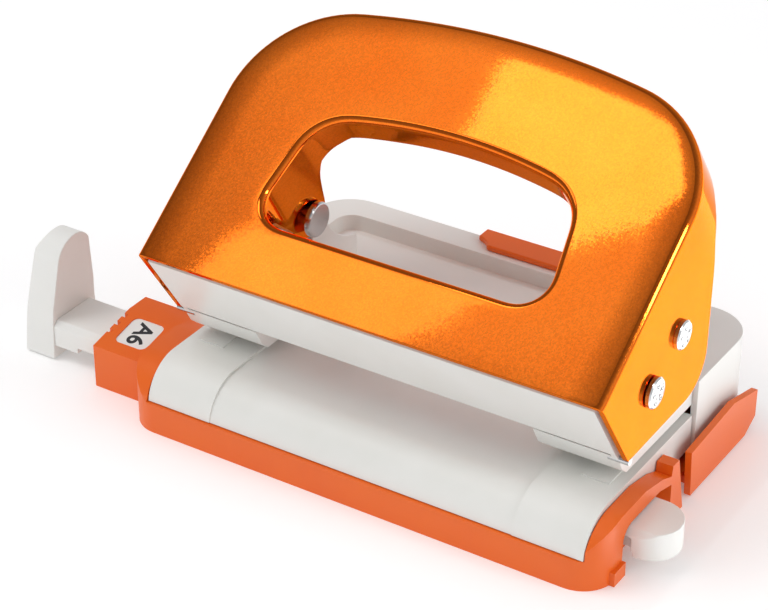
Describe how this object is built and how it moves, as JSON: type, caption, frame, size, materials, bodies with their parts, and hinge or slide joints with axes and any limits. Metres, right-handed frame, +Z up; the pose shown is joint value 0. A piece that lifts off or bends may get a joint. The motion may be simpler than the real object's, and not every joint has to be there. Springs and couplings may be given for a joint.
{
  "type": "hole punch",
  "caption": "Desk hole punch with a pressed steel lever handle, sliding paper guide with end stop, coupled punches and a hinged chip tray.",
  "frame": {"origin": "on the desk, midway between the axes of the two punches", "axes": "+X to the user's right along the paper edge, +Y to the back, +Z up"},
  "size_m": [0.149, 0.0714, 0.0775],
  "materials": {
    "orange_steel": "glossy metallic lacquer",
    "orange_plastic": "satin moulded",
    "white_steel": "satin lacquer",
    "white_plastic": "satin moulded",
    "steel": "ground",
    "rivet_steel": "bright pressed",
    "spring_steel": "drawn wire",
    "rubber": "matt"
  },
  "bodies": {
    "base": {"base_frame": "orange_plastic", "rubber_feet": "rubber", "rear_clip": "orange_plastic", "format_window": "white_plastic", "detent_spring": "steel", "deck_plate": "white_steel", "die_left": "steel", "die_right": "steel", "punch_head": "white_steel", "rear_cover": "white_steel", "bracket_left": "white_steel", "bracket_right": "white_steel", "guide_bush_left": "steel", "guide_bush_right": "steel", "pivot_pin_left": "rivet_steel", "pivot_pin_right": "rivet_steel", "stop_pins": "rivet_steel", "body_rivets": "rivet_steel", "tray_hinge_pin": "steel", "return_spring_left": "spring_steel", "return_spring_right": "spring_steel"},
    "handle": {"handle_shell": "orange_steel", "drive_pin_left": "rivet_steel", "drive_pin_right": "rivet_steel"},
    "punch_left": {"punch_left": "steel", "spring_cap_left": "steel"},
    "punch_right": {"punch_right": "steel", "spring_cap_right": "steel"},
    "guide": {"guide_bar": "white_plastic", "end_stop": "white_plastic"},
    "tray": {"chip_tray": "orange_plastic"}
  },
  "joints": [
    {"name": "handle_hinge", "type": "hinge", "parent": "base", "child": "handle", "pos_m": [0, -0.0105, 0.0326], "axis": [-1, 0, 0], "range_deg": [0, 28], "stiffness_Nm_per_rad": 0.33, "springref_deg": -28.65},
    {"name": "punch_left_slide", "type": "slide", "parent": "base", "child": "punch_left", "axis": [0, 0, -1], "range_m": [0, 0.00575], "deforming": ["return_spring_left"]},
    {"name": "punch_right_slide", "type": "slide", "parent": "base", "child": "punch_right", "axis": [0, 0, -1], "range_m": [0, 0.00575], "deforming": ["return_spring_right"]},
    {"name": "guide_slide", "type": "slide", "parent": "base", "child": "guide", "axis": [-1, 0, 0], "range_m": [0, 0.066]},
    {"name": "tray_hinge", "type": "hinge", "parent": "base", "child": "tray", "pos_m": [-0.0476, 0.014, 0.0021], "axis": [0, 1, 0], "range_deg": [0, 60]}
  ],
  "couplings": [
    {"joint": "punch_left_slide", "follows": "handle_hinge", "m_per_rad": 0.01169},
    {"joint": "punch_right_slide", "follows": "handle_hinge", "m_per_rad": 0.01169}
  ]
}
